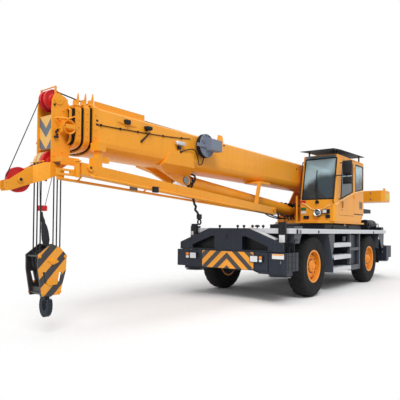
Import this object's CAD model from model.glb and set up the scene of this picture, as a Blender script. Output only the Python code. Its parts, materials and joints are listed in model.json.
"""Looks of the two-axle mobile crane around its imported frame.

Lengths are metres. Pieces are written in the carrier's own axes: X forward from the
front axle, Y to the left from the middle plane, Z up from the ground.
"""
import json
import math

import bmesh
import bpy
import numpy as np
from mathutils import Matrix, Vector


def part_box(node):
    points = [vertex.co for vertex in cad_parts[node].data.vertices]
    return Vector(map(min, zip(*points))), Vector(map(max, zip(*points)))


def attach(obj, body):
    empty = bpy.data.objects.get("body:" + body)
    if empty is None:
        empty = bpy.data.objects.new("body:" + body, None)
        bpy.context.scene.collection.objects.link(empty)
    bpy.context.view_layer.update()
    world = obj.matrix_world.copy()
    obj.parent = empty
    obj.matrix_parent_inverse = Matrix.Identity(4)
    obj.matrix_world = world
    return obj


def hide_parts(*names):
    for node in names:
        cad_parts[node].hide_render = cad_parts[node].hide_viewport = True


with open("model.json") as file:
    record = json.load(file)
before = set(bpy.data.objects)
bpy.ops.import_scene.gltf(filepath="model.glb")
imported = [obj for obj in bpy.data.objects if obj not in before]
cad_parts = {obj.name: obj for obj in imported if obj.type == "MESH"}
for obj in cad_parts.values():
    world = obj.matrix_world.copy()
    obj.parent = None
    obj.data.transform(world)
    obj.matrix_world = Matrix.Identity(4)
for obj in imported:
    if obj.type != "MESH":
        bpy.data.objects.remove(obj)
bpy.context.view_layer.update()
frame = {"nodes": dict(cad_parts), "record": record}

low, high = (np.array(corner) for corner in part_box("axle_front"))
UPPER = "superstructure"
DATUM = np.array([(low[0] + high[0]) / 2, (low[1] + high[1]) / 2, 0.0])


# ---- meshes from formulas -----------------------------------------------------------
def grid_faces(rows, cols, wrap_rows=False, wrap_cols=False):
    """Quads between neighbouring rows and columns of a grid, joined round where it wraps."""
    r = np.arange(rows if wrap_rows else rows - 1)[:, None]
    c = np.arange(cols if wrap_cols else cols - 1)[None, :]
    r1, c1 = (r + 1) % rows, (c + 1) % cols
    quads = np.stack([r * cols + c, r * cols + c1, r1 * cols + c1, r1 * cols + c], axis=-1)
    return quads.reshape(-1, 4).tolist()


def joined(*parts):
    """Several parts as one: points stacked, faces renumbered by the points before them."""
    points, faces, start = [], [], 0
    for p, f in parts:
        points.append(p)
        faces += [[i + start for i in face] for face in f]
        start += len(p)
    return np.concatenate(points), faces


def loft(rings):
    """Skin over closed rings (ring, point, xyz); the end rings are filled."""
    rows, cols, _ = rings.shape
    ends = [list(range(cols))[::-1], list(range((rows - 1) * cols, rows * cols))]
    return rings.reshape(-1, 3), grid_faces(rows, cols, wrap_cols=True) + ends


def unit(v):
    """Vectors brought to length one."""
    return v / np.linalg.norm(v, axis=-1, keepdims=True)


def tube(path, radius, sides, up=(0.0, 0.0, 1.0), flat=1.0):
    """Round bar along a path: a circle square to the path's direction, squeezed by flat across up."""
    path = np.asarray(path, float)
    ahead = unit(np.gradient(path, axis=0))
    across = unit(np.cross(ahead, np.asarray(up, float)))
    over = np.cross(across, ahead)
    angle = np.linspace(0, 2 * np.pi, sides, endpoint=False)
    r = np.broadcast_to(np.asarray(radius, float), len(path))[:, None, None]
    rings = path[:, None] + r * (np.cos(angle)[None, :, None] * across[:, None]
                                 + flat * np.sin(angle)[None, :, None] * over[:, None])
    return loft(rings)


def through(points, count):
    """Smooth path through points: a cubic between each two, its slope at each set by the neighbours."""
    p = np.asarray(points, float)
    slope = np.gradient(p, axis=0)
    t = np.linspace(0, len(p) - 1, count)
    i = np.minimum(t.astype(int), len(p) - 2)
    u = (t - i)[:, None]
    return ((2 * u**3 - 3 * u**2 + 1) * p[i] + (u**3 - 2 * u**2 + u) * slope[i]
            + (3 * u**2 - 2 * u**3) * p[i + 1] + (u**3 - u**2) * slope[i + 1])


AXES = {"x": (1, 2, 0), "y": (0, 2, 1), "z": (0, 1, 2)}     # two axes across, and the one along


def placed(a, b, along, axis):
    """Points from two coordinates across an axis and one along it."""
    out = np.empty(np.broadcast(a, b, along).shape + (3,))
    i, j, k = AXES[axis]
    out[..., i], out[..., j], out[..., k] = a, b, along
    return out


def turned(profile, centre, axis, count):
    """Profile of (radius, place along the axis) turned round the axis."""
    profile = np.asarray(profile, float)
    angle = np.linspace(0, 2 * np.pi, count, endpoint=False)[:, None]
    rings = placed(profile[:, 0] * np.cos(angle), profile[:, 0] * np.sin(angle), profile[:, 1] + 0 * angle,
                   axis)
    rings = rings + np.asarray(centre, float)
    return rings.reshape(-1, 3), grid_faces(count, len(profile), wrap_rows=True)


def spun(start, profile, end, centre, axis, count):
    """Solid turned about an axis: its profile is closed at start and end, a hair short of the axis."""
    hair = 0.0005
    return turned([(hair, start), *profile, (hair, end)], centre, axis, count)


def mirrored_pair(name, part, material, body, bevel=0.0):
    """Left piece and its mirror image on the right; a star in a name stands for the side."""
    for side, shape in (("left", part), ("right", flipped(part))):
        piece(name.replace("*", side), shape, material, body.replace("*", side), bevel)


def skin(rows, axis):
    """Skin over rectangles with round corners.

    Each row: place along the axis, both half sizes, corner radius and centre.
    """
    return loft(np.stack([placed(*rounded(half_a, half_b, radius, centre).T, along, axis)
                          for along, half_a, half_b, radius, centre in rows]))


def prism(outline, axis, a, b):
    """Flat outline carried straight along an axis from a to b."""
    outline = np.asarray(outline, float)
    rings = np.stack([placed(outline[:, 0], outline[:, 1], np.full(len(outline), s), axis) for s in (a, b)])
    return loft(rings)


def bar(x0, x1, y0, y1, z0, z1):
    """Straight bar between two opposite corners."""
    return prism([(x0, y0), (x1, y0), (x1, y1), (x0, y1)], "z", z0, z1)


def rounded(half_a, half_b, radius, centre):
    """Outline of a rectangle with round corners: four quarter circles moved out to the corners."""
    steps = 5
    angle = (np.arange(4)[:, None] * np.pi / 2 + np.linspace(0, np.pi / 2, steps)).ravel()
    sa, sb = np.repeat([1, -1, -1, 1], steps), np.repeat([1, 1, -1, -1], steps)
    return np.stack([centre[0] + sa * (half_a - radius) + radius * np.cos(angle),
                     centre[1] + sb * (half_b - radius) + radius * np.sin(angle)], axis=1)


def hexagon_bolts(centres, axis, radius, height, sides=6):
    """Bolt heads: one six-sided prism repeated at every centre, standing out along the axis."""
    angle = np.arange(sides) * 2 * np.pi / sides
    ring = placed(radius * np.cos(angle), radius * np.sin(angle), np.zeros(sides), axis)
    step = placed(0.0, 0.0, height, axis)
    one = np.concatenate([ring, ring + step])
    centres = np.atleast_2d(np.asarray(centres, float))
    points = (centres[:, None] + one[None]).reshape(-1, 3)
    base = [[i, (i + 1) % sides, (i + 1) % sides + sides, i + sides] for i in range(sides)]
    base += [list(range(sides))[::-1], list(range(sides, 2 * sides))]
    faces = [[v + 2 * sides * n for v in face] for n in range(len(centres)) for face in base]
    return points, faces


def moved(part, matrix=None, by=(0, 0, 0)):
    """Part after a 3 by 3 matrix and a shift."""
    points, faces = part
    if matrix is not None:
        points = points @ np.asarray(matrix).T
    return points + np.asarray(by, float), faces


def tilted(angle):
    """Matrix that turns about Y."""
    return np.array([[math.cos(angle), 0, math.sin(angle)], [0, 1, 0],
                     [-math.sin(angle), 0, math.cos(angle)]])


def flipped(part):
    """Part mirrored to the other side of the middle plane."""
    return part[0] * np.array([1, -1, 1]), [face[::-1] for face in part[1]]


def both(part):
    """Part and its mirror image as one."""
    return joined(part, flipped(part))


def new_object(name, mesh, material, body, bevel, limit, sharp, replaces, smooth=0):
    """Object on a body with one material, edges rounded or form subdivided, smooth up to the sharp angle."""
    obj = bpy.data.objects.new(name, mesh)
    bpy.context.scene.collection.objects.link(obj)
    mesh.materials.clear()
    mesh.materials.append(material)
    if bevel:
        mod = obj.modifiers.new("soft edges", "BEVEL")
        mod.width, mod.segments, mod.limit_method, mod.angle_limit = bevel, 2, "ANGLE", math.radians(limit)
        mod.harden_normals = True
    if smooth:
        mod = obj.modifiers.new("smooth form", "SUBSURF")
        mod.levels = mod.render_levels = smooth
    mesh.polygons.foreach_set("use_smooth", np.ones(len(mesh.polygons), bool))
    mesh.set_sharp_from_angle(angle=math.radians(sharp))
    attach(obj, body)
    if replaces:
        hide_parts(replaces)
    return obj


def piece(name, part, material, body, bevel=0.0, smooth=0, sharp=35, replaces=None):
    """New mesh of a part in the carrier's axes, finished with a bevel or subdivision, riding on a body."""
    points, faces = part
    mesh = bpy.data.meshes.new(name)
    mesh.from_pydata((points + DATUM).tolist(), [], faces)
    shape = bmesh.new()
    shape.from_mesh(mesh)
    bmesh.ops.remove_doubles(shape, verts=shape.verts, dist=1e-5)
    bmesh.ops.recalc_face_normals(shape, faces=shape.faces)
    shape.to_mesh(mesh)
    shape.free()
    return new_object(name, mesh, material, body, bevel, 30, sharp, replaces, smooth)


BODY_OF = {node: body for body, nodes in frame["record"]["behaviour"]["bodies"].items() for node in nodes}


def softened(node, material, width):
    """Copy of a CAD node with its loose triangles merged and its edges slightly rounded."""
    source = frame["nodes"][node]
    mesh = source.data.copy()
    mesh.name = node + "_soft"
    shape = bmesh.new()
    shape.from_mesh(mesh)
    bmesh.ops.remove_doubles(shape, verts=shape.verts, dist=2e-5)
    bmesh.ops.dissolve_limit(shape, angle_limit=math.radians(0.5), verts=shape.verts, edges=shape.edges)
    shape.to_mesh(mesh)
    shape.free()
    return new_object(node + "_soft", mesh, material, BODY_OF[node], width, 32, 35, node)


# ---- shared effects -----------------------------------------------------------------
def node_in(tree, kind, inputs=None, **settings):
    """Shader node with its settings made and its inputs set or linked."""
    node = tree.nodes.new(kind)
    for key, value in settings.items():
        setattr(node, key, value)
    for key, value in (inputs or {}).items():
        if isinstance(value, bpy.types.NodeSocket):
            tree.links.new(value, node.inputs[key])
        else:
            node.inputs[key].default_value = value
    return node


def object_place(tree):
    """The object's own coordinates."""
    return tree.nodes.new("ShaderNodeTexCoord").outputs["Object"]


def effect_group(name, inputs, outputs):
    """Empty effect with named inputs (label: default) and outputs (label: kind)."""
    tree = bpy.data.node_groups.new(name, "ShaderNodeTree")
    for label, default in inputs.items():
        kind = "NodeSocketColor" if isinstance(default, tuple) else "NodeSocketFloat"
        tree.interface.new_socket(label, in_out="INPUT", socket_type=kind).default_value = default
    for label, kind in outputs.items():
        tree.interface.new_socket(label, in_out="OUTPUT", socket_type=kind)
    return tree, tree.nodes.new("NodeGroupInput").outputs, tree.nodes.new("NodeGroupOutput").inputs


def maths(tree, operation, a, b=0.0, c=0.0, clamp=False):
    """Result of one sum on numbers or sockets."""
    return node_in(tree, "ShaderNodeMath", {0: a, 1: b, 2: c}, operation=operation,
                   use_clamp=clamp).outputs[0]


def mixed(tree, factor, a, b, blend="MIX"):
    """Colour between two colours or sockets."""
    inputs = {0: factor, 6: a, 7: b}
    return node_in(tree, "ShaderNodeMix", inputs, data_type="RGBA", blend_type=blend).outputs[2]


def toned(tree, colour, tone):
    """Colour made lighter or darker by a tone near one."""
    grey = node_in(tree, "ShaderNodeCombineColor", {0: tone, 1: tone, 2: tone}).outputs[0]
    return mixed(tree, 1.0, colour, grey, "MULTIPLY")


def noise(tree, place, scale, detail=3.0, stretch=(1, 1, 1)):
    """Noise over object coordinates, stretched along an axis where wanted."""
    if stretch != (1, 1, 1):
        place = node_in(tree, "ShaderNodeMapping", {"Vector": place, "Scale": stretch}).outputs[0]
    return node_in(tree, "ShaderNodeTexNoise", {"Vector": place, "Scale": scale, "Detail": detail}).outputs[0]


def with_outputs(tree, outputs, **values):
    """Effect with its results linked to its outputs."""
    for label, value in values.items():
        tree.links.new(value, outputs[label])
    return tree


def paint_wear_effect():
    """Paint: slow changes of tone, small chips, faint streaks, dust on upward faces, and a fine skin."""
    tree, i, o = effect_group("paint wear", {
        "Colour": (0.8, 0.8, 0.8, 1), "Chip Colour": (0.1, 0.1, 0.1, 1), "Dust Colour": (0.45, 0.42, 0.38, 1),
        "Chips": 0.3, "Dust": 0.3, "Streaks": 0.3, "Roughness": 0.4},
        {"Colour": "NodeSocketColor", "Roughness": "NodeSocketFloat", "Height": "NodeSocketFloat"})
    place = object_place(tree)
    slow = noise(tree, place, 0.9)
    tone = maths(tree, "MULTIPLY_ADD", slow, 0.22, 0.89)
    shaded = toned(tree, i["Colour"], tone)
    streak = maths(tree, "MULTIPLY",
                   maths(tree, "SUBTRACT", noise(tree, place, 5.0, 4.0, (3, 3, 0.25)), 0.52, clamp=True), 3.0,
                   clamp=True)
    streak = maths(tree, "MULTIPLY", streak, i["Streaks"], clamp=True)
    shaded = mixed(tree, streak, shaded, mixed(tree, 0.5, i["Colour"], i["Chip Colour"]))
    up = node_in(tree, "ShaderNodeSeparateXYZ",
                 {0: tree.nodes.new("ShaderNodeNewGeometry").outputs["Normal"]}).outputs[2]
    dust = maths(tree, "MULTIPLY", maths(tree, "MULTIPLY_ADD", up, 0.8, 0.2, clamp=True),
                 noise(tree, place, 7.0, 5.0), clamp=True)
    dust = maths(tree, "MULTIPLY", dust, i["Dust"], clamp=True)
    shaded = mixed(tree, dust, shaded, i["Dust Colour"])
    chip = maths(tree, "MULTIPLY", maths(tree, "SUBTRACT", noise(tree, place, 38.0, 6.0), 0.655, clamp=True),
                 40.0, clamp=True)
    chip = maths(tree, "MULTIPLY", chip, i["Chips"], clamp=True)
    shaded = mixed(tree, chip, shaded, i["Chip Colour"])
    rough = maths(tree, "MULTIPLY_ADD", slow, 0.12, i["Roughness"])
    rough = maths(tree, "MULTIPLY_ADD", dust, 0.4, rough)
    rough = maths(tree, "MULTIPLY_ADD", chip, 0.3, rough, clamp=True)
    height = maths(tree, "MULTIPLY_ADD", noise(tree, place, 260.0, 2.0), 0.25,
                   maths(tree, "MULTIPLY", chip, -0.6))
    return with_outputs(tree, o, Colour=shaded, Roughness=rough, Height=height)


def grain_effect():
    """Grain of rubber, cast metal and moulded plastic: fine noise in tone, roughness and height."""
    tree, i, o = effect_group("grain",
                              {"Colour": (0.1, 0.1, 0.1, 1), "Dust Colour": (0.3, 0.28, 0.25, 1),
                               "Scale": 120.0, "Dust": 0.2, "Roughness": 0.6},
                              {"Colour": "NodeSocketColor", "Roughness": "NodeSocketFloat",
                               "Height": "NodeSocketFloat"})
    place = object_place(tree)
    fine = node_in(tree, "ShaderNodeTexNoise",
                   {"Vector": place, "Scale": i["Scale"], "Detail": 4.0}).outputs[0]
    slow = noise(tree, place, 3.0, 4.0)
    dust = maths(tree, "MULTIPLY", maths(tree, "SUBTRACT", slow, 0.35, clamp=True),
                 maths(tree, "MULTIPLY", i["Dust"], 2.2), clamp=True)
    tone = maths(tree, "MULTIPLY_ADD", fine, 0.5, 0.75)
    shaded = toned(tree, i["Colour"], tone)
    shaded = mixed(tree, dust, shaded, i["Dust Colour"])
    rough = maths(tree, "MULTIPLY_ADD", fine, 0.2, i["Roughness"], clamp=True)
    return with_outputs(tree, o, Colour=shaded, Roughness=rough, Height=fine)


def stripe_effect():
    """Warning stripes: a mask of bands leaning by Slope on each side of the middle, Pitch apart."""
    tree, i, o = effect_group("warning stripes",
                              {"Across": 0.0, "Up": 0.0, "Slope": 1.0, "Pitch": 0.2, "Start": 0.0,
                               "Share": 0.5}, {"Mask": "NodeSocketFloat"})
    lean = maths(tree, "MULTIPLY", i["Across"], i["Slope"])
    phase = maths(tree, "DIVIDE", maths(tree, "SUBTRACT", maths(tree, "ADD", i["Up"], lean), i["Start"]),
                  i["Pitch"])
    part = maths(tree, "FRACT", phase)
    edge = maths(tree, "MULTIPLY", maths(tree, "SUBTRACT", i["Share"], part), 60.0, clamp=True)
    start = maths(tree, "MULTIPLY", part, 60.0, clamp=True)
    return with_outputs(tree, o, Mask=maths(tree, "MULTIPLY", edge, start))


PAINT_WEAR, GRAIN, STRIPES = paint_wear_effect(), grain_effect(), stripe_effect()


def blank_material(name):
    """New material with its node tree and its shader's sockets."""
    mat = bpy.data.materials.new(name)
    mat.use_nodes = True
    tree = mat.node_tree
    return mat, tree, tree.nodes["Principled BSDF"].inputs


def material_with(name, effect, inputs, bump, colour=None, **shader):
    """Material driven by an effect; the shader's other sockets take plain numbers."""
    mat, tree, sockets = blank_material(name)
    group = node_in(tree, "ShaderNodeGroup", node_tree=effect)
    for label, value in inputs.items():
        group.inputs[label].default_value = value
    tree.links.new(colour(tree, group) if colour else group.outputs["Colour"], sockets["Base Color"])
    tree.links.new(group.outputs["Roughness"], sockets["Roughness"])
    lift = node_in(tree, "ShaderNodeBump",
                   {"Height": group.outputs["Height"], "Strength": bump, "Distance": 0.002})
    tree.links.new(lift.outputs[0], sockets["Normal"])
    for label, value in shader.items():
        sockets[label.replace("_", " ")].default_value = value
    return mat


def painted(name, colour, chip=(0.1, 0.08, 0.06, 1), roughness=0.34, chips=0.35, dust=0.06, streaks=0.2,
            shine=0.35, **shader):
    """Paint in a colour, with its chips, dust and streaks."""
    return material_with(name, PAINT_WEAR, {"Colour": colour, "Chip Colour": chip, "Roughness": roughness,
                                            "Chips": chips, "Dust": dust, "Streaks": streaks}, bump=0.12,
                         Coat_Weight=0.1, Coat_Roughness=0.2, Specular_IOR_Level=shine, **shader)


def grained(name, colour, roughness, scale, dust, bump=0.2, **shader):
    """Rubber, plastic, cloth or bare metal with a grain at a scale."""
    return material_with(name, GRAIN,
                         {"Colour": colour, "Roughness": roughness, "Scale": scale, "Dust": dust}, bump=bump,
                         **{"Specular_IOR_Level": 0.3, **shader})


ORANGE_TONE = (0.93, 0.37, 0.016, 1)
CHARCOAL_TONE = (0.014, 0.019, 0.032, 1)
STRIPE_TONE = (0.03, 0.032, 0.036, 1)
ORANGE = painted("orange paint", ORANGE_TONE)
RIDGE = painted("worn orange edge", (1.0, 0.56, 0.16, 1), roughness=0.25, chips=0.0, shine=0.6)
RIM_ORANGE = painted("wheel orange", (0.84, 0.29, 0.012, 1), dust=0.1, shine=0.4)
CHARCOAL = painted("charcoal paint", CHARCOAL_TONE, chip=(0.12, 0.12, 0.12, 1), roughness=0.42, dust=0.03,
                   shine=0.25)
GREY = painted("grey frame paint", (0.065, 0.074, 0.09, 1), roughness=0.42, dust=0.04, shine=0.25)
BLACK = painted("black paint", (0.006, 0.007, 0.01, 1), chip=(0.12, 0.12, 0.12, 1), roughness=0.45, dust=0.03,
                shine=0.2)
SHEET = painted("dark blue sheet", (0.016, 0.024, 0.038, 1), roughness=0.55, dust=0.0, streaks=0.1,
                shine=0.15)
BLUE_GREY = painted("blue grey paint", (0.19, 0.22, 0.29, 1), roughness=0.4)
RED = painted("red paint", (0.62, 0.012, 0.016, 1), roughness=0.35)
WHITE = painted("white plate", (0.8, 0.81, 0.82, 1), chip=(0.4, 0.4, 0.4, 1), roughness=0.45, chips=0.1)
CREAM = painted("cream nylon", (0.75, 0.5, 0.22, 1), roughness=0.5, chips=0.1)
YELLOW = painted("yellow plate", (0.85, 0.62, 0.03, 1), roughness=0.45, chips=0.1)
GREEN = painted("green plate", (0.01, 0.16, 0.05, 1), roughness=0.45, chips=0.1)
ALUMINIUM = painted("ribbed aluminium", (0.66, 0.68, 0.71, 1), chip=(0.3, 0.3, 0.3, 1), roughness=0.38,
                    Metallic=0.45)
LINING = painted("cab lining", (0.34, 0.42, 0.48, 1), roughness=0.6, chips=0.0, streaks=0.05)
HEADER = painted("tinted header", (0.13, 0.2, 0.25, 1), roughness=0.12, chips=0.0, streaks=0.0, shine=0.6)
STEEL = grained("bare steel", (0.22, 0.22, 0.23, 1), 0.35, 90.0, 0.1, Metallic=0.85)
CHROME = grained("chromed rod", (0.75, 0.76, 0.78, 1), 0.06, 40.0, 0.0, 0.02, Metallic=1.0)
ROPE = grained("wire rope", (0.016, 0.016, 0.016, 1), 0.6, 300.0, 0.0, 0.5)
IRON = grained("cast iron", (0.018, 0.02, 0.025, 1), 0.55, 60.0, 0.05, 0.35)
RUBBER = grained("tyre rubber", (0.0075, 0.0078, 0.0085, 1), 0.72, 90.0, 0.035, 0.3, Specular_IOR_Level=0.22)
GASKET = grained("black rubber", (0.007, 0.007, 0.008, 1), 0.55, 200.0, 0.0, 0.1, Specular_IOR_Level=0.2)
PLASTIC = grained("black plastic", (0.009, 0.01, 0.012, 1), 0.45, 220.0, 0.0, 0.15, Specular_IOR_Level=0.25)
CLOTH = grained("seat cloth", (0.028, 0.03, 0.034, 1), 0.85, 500.0, 0.05, 0.5, Sheen_Weight=0.3)
AMBER = grained("amber lens", (0.95, 0.25, 0.01, 1), 0.15, 300.0, 0.0, 0.03, Coat_Weight=0.8)
CLEAR = grained("clear lens", (0.75, 0.78, 0.8, 1), 0.12, 300.0, 0.0, 0.03, Coat_Weight=0.8)
RED_LENS = grained("red lens", (0.75, 0.01, 0.01, 1), 0.15, 300.0, 0.0, 0.03, Coat_Weight=0.8)


def glass_material():
    """Tinted pane: darker below a wavering slanting line, clear above it, its roughness changed by a film."""
    mat, tree, sockets = blank_material("tinted glass")
    place = object_place(tree)
    tree.links.new(maths(tree, "MULTIPLY", noise(tree, place, 2.5, 5.0), 0.02), sockets["Roughness"])
    spot = node_in(tree, "ShaderNodeSeparateXYZ", {0: place}).outputs
    line = maths(tree, "MULTIPLY_ADD", noise(tree, place, 2.0), 0.5, spot[2])
    line = maths(tree, "MULTIPLY_ADD", spot[1], -0.35, line)
    shade = node_in(tree, "ShaderNodeMapRange", {"Value": line, "From Min": 2.48, "From Max": 2.72},
                    interpolation_type="SMOOTHSTEP").outputs[0]
    tree.links.new(mixed(tree, shade, (0.06, 0.11, 0.14, 1), (0.7, 0.92, 1.0, 1)), sockets["Base Color"])
    for label, value in (("Transmission Weight", 0.62), ("IOR", 1.45), ("Metallic", 0.0)):
        sockets[label].default_value = value
    return mat


GLASS = glass_material()


def striped(name, dark, light, axis_across, middle, slope, pitch, start, share, dark_within=0.0):
    """Paint in two colours, in bands that lean away from a middle plane, or one way where middle is None.

    Nearer to the machine's middle plane than dark_within, all is dark.
    """
    def colour(tree, group):
        place = node_in(tree, "ShaderNodeSeparateXYZ", {0: object_place(tree)})
        across = place.outputs[axis_across]
        if middle is not None:
            across = maths(tree, "ABSOLUTE", maths(tree, "SUBTRACT", across, middle))
        mask = node_in(tree, "ShaderNodeGroup", node_tree=STRIPES)
        tree.links.new(across, mask.inputs["Across"])
        tree.links.new(place.outputs[2], mask.inputs["Up"])
        for label, value in (("Slope", slope), ("Pitch", pitch), ("Start", start), ("Share", share)):
            mask.inputs[label].default_value = value
        side = maths(tree, "ABSOLUTE", maths(tree, "SUBTRACT", place.outputs[1], DATUM[1]))
        cover = maths(tree, "MAXIMUM", mask.outputs[0], maths(tree, "LESS_THAN", side, dark_within))
        return mixed(tree, cover, group.outputs["Colour"], mixed(tree, 0.01, dark, group.outputs["Colour"]))
    return material_with(name, PAINT_WEAR, {"Colour": light, "Roughness": 0.35, "Chips": 0.3, "Dust": 0.12},
                         bump=0.1, colour=colour, Coat_Weight=0.2)


FRONT_STRIPES = striped("front stripes", STRIPE_TONE, ORANGE_TONE, 1, DATUM[1], 0.9, 0.256, 0.807, 0.5)
HEAD_STRIPES = striped("head stripes", (0.11, 0.135, 0.17, 1), (0.93, 0.52, 0.11, 1), 1, DATUM[1], -1.1,
                       0.272, 2.541, 0.48)
BLOCK_STRIPES = striped("block stripes", (0.016, 0.018, 0.024, 1), ORANGE_TONE, 0, None, 1.0, 0.28,
                        6.63 + DATUM[0], 0.47, 0.1385)
HOOK_STEEL = grained("forged hook", (0.018, 0.024, 0.036, 1), 0.45, 70.0, 0.1, 0.25, Metallic=0.5)

# ---- carried-over nodes -------------------------------------------------------------
WHEELBASE, DECK_TOP = 3.68, 1.42
CYLINDER_FOOT, ROD_EYE = (-1.66, 0, 1.853), (2.93, 0, 2.228)      # ends of the lift cylinder
SHEAVE_PIN, NOSE_PIN, BLOCK_PIN = (5.55, 0, 2.215), (5.965, 0, 1.965), (5.55, 0, 0.96)
BLOCK_X = BLOCK_PIN[0]
CORNERS = (("front_left", 0.0, 1), ("front_right", 0.0, -1), ("rear_left", -WHEELBASE, 1),
           ("rear_right", -WHEELBASE, -1))
SIDES = ((1, "left"), (-1, "right"))
# width of the rounded edge of each node, by material; a star stands for the four corners
SOFT_NODES = {
    ORANGE: {"turntable": 0.006, "counterweight": 0.018, "cab_base": 0.004, "cab_shell": 0.004,
             "cab_door": 0.005, "boom_base": 0.004, "boom_section_2": 0.004, "boom_section_3": 0.004,
             "boom_head": 0.005, "aux_nose": 0.003, "fly_jib": 0.006, "lift_cylinder": 0.006},
    RIM_ORANGE: {"rim_*": 0.004},
    CHARCOAL: {"chassis_frame": 0.005, "front_outrigger_box": 0.008, "rear_outrigger_box": 0.008,
               "front_guard": 0.005, "side_tanks": 0.008, "outrigger_beam_*": 0.008},
    GREY: {"side_frames": 0.004},
    SHEET: {"cab_fittings": 0.006},
    BLACK: {"engine_hood": 0.012, "lamp_clusters": 0.004},
    ALUMINIUM: {"deck_rails": 0.004, "side_treads": 0.002},
    BLUE_GREY: {"hose_reel": 0.006},
    STEEL: {"slewing_ring": 0.004, "outrigger_jack_*": 0.003},
    IRON: {"axle_front": 0.008, "axle_rear": 0.008, "block_sheaves": 0.002, "knuckle_*": 0.005},
    CHROME: {"lift_rod": 0.003},
    RED: {"boom_sheaves": 0.003},
    BLOCK_STRIPES: {"block_cheeks": 0.004},
    HOOK_STEEL: {"hook": 0.007},
    PLASTIC: {"cab_controls": 0.004},
}
for material, nodes in SOFT_NODES.items():
    for node, width in nodes.items():
        for full_name in [node.replace("*", corner[0]) for corner in CORNERS] if "*" in node else [node]:
            softened(full_name, material, width)
for node, material in (("deck", CHARCOAL), ("engine_block", IRON), ("cab_glass", GLASS),
                       ("cab_door_glass", GLASS), ("winches", STEEL)):
    frame["nodes"][node].material_slots[0].material = material


# ---- shared small shapes ------------------------------------------------------------
def plate(a, b, c0, c1, d0, d1, axis, radius):
    """Thin plate with round corners, from a to b along an axis, between c0..c1 and d0..d1 across it."""
    return prism(rounded((c1 - c0) / 2, (d1 - d0) / 2, radius, ((c0 + c1) / 2, (d0 + d1) / 2)), axis, a, b)


def domed(radius, rise, centre, axis):
    """Low dome along an axis: its height falls off with the square of the distance from its middle."""
    foot = -0.004
    arch = [(r, rise * (1 - (r / radius) ** 2)) for r in np.linspace(0, radius, 7)[:0:-1]]
    return spun(foot, [(radius, foot), *arch], rise, centre, axis, 24)


def ring(major, minor, centre, axis, count, sides=10):
    """Round bar bent into a circle about an axis."""
    turn = np.linspace(0, 2 * np.pi, count, endpoint=False)[:, None]
    angle = np.linspace(0, 2 * np.pi, sides, endpoint=False)[None, :]
    r = major + minor * np.cos(angle)
    points = placed(r * np.cos(turn), r * np.sin(turn), minor * np.sin(angle) + 0 * turn, axis)
    return (points + np.asarray(centre, float)).reshape(-1, 3), grid_faces(count, sides, True, True)


OFF_AXIS = (0.13, 0.31, 0.94)       # no bar here runs along this direction


def straight(a, b, radius, sides=12):
    """Straight round bar between two points."""
    return tube([a, b], radius, sides, up=OFF_AXIS)


def bent(points, radius, sides, count):
    """Round bar or hose along a smooth path through points."""
    return tube(through(points, count), radius, sides, up=OFF_AXIS)


def louvres(x0, x1, z0, z1, y, way, count, depth=0.012):
    """Row of slats on a side face, each a wedge that stands out at its lower edge."""
    height = (z1 - z0) / count
    slat = np.array([(y, z1), (y + way * depth, z1 - height * 0.72), (y, z1 - height * 0.72)])
    return joined(*[prism(slat - (0, n * height), "x", x0, x1) for n in range(count)])


# ---- wheels -------------------------------------------------------------------------
TYRE_RADIUS, TYRE_HALF, WHEEL_Y = 0.64, 0.1825, 1.068
WIDEST, LUGS = 0.472, 24       # radius where the tyre is widest, and lugs on each side


def tyre(x, side):
    """Tyre: a squared-off oval section turned round the axle, its tread cut by leaning grooves into lugs.

    Across the section the angle t runs from bead over crown to bead: half width and height follow
    powers of sine and cosine. The groove between two lugs lies where a wave round the wheel, leaning
    with the distance from the middle and shifted half a lug on the other side, falls below a level.
    """
    t = np.radians(np.linspace(-132, 132, 61))[None, :]
    turn = np.linspace(0, 2 * np.pi, 336, endpoint=False)[:, None]
    lean = np.sign(np.sin(t))
    y = TYRE_HALF * lean * np.abs(np.sin(t)) ** 0.62
    r = WIDEST + (TYRE_RADIUS - WIDEST) * np.sign(np.cos(t)) * np.abs(np.cos(t)) ** 0.5
    share = np.abs(y) / TYRE_HALF
    wave = np.cos(LUGS * turn + 3.0 * share + (lean > 0) * np.pi)
    groove = np.clip((wave - 0.42) * 4, 0, 1) * np.clip((share - 0.1) * 6, 0, 1)
    tread = np.clip((r - 0.585) * 22, 0, 1)
    r = r - 0.012 * groove * tread
    rib = 0.004 * np.exp(-((r - 0.545) / 0.006) ** 2) + 0.003 * np.exp(-((r - 0.41) / 0.005) ** 2)
    y = y * (1 - 0.03 * groove * tread) + lean * rib * (np.abs(t) > 0.9) - lean * 0.004 * (np.abs(t) > 0.9)
    points = np.stack([x + r * np.cos(turn), side * WHEEL_Y + y + 0 * turn, TYRE_RADIUS + r * np.sin(turn)],
                      axis=-1)
    return points.reshape(-1, 3), grid_faces(len(turn), t.shape[1], wrap_rows=True, wrap_cols=True)


def round_the_wheel(x, side, radius, out, count, start=0.0):
    """Points on a circle round the axle, out from the wheel's middle plane."""
    turn = start + np.arange(count) * 2 * np.pi / count
    return np.stack([x + radius * np.cos(turn), np.full(count, side * (WHEEL_Y + out)),
                     TYRE_RADIUS + radius * np.sin(turn)], axis=1)


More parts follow.
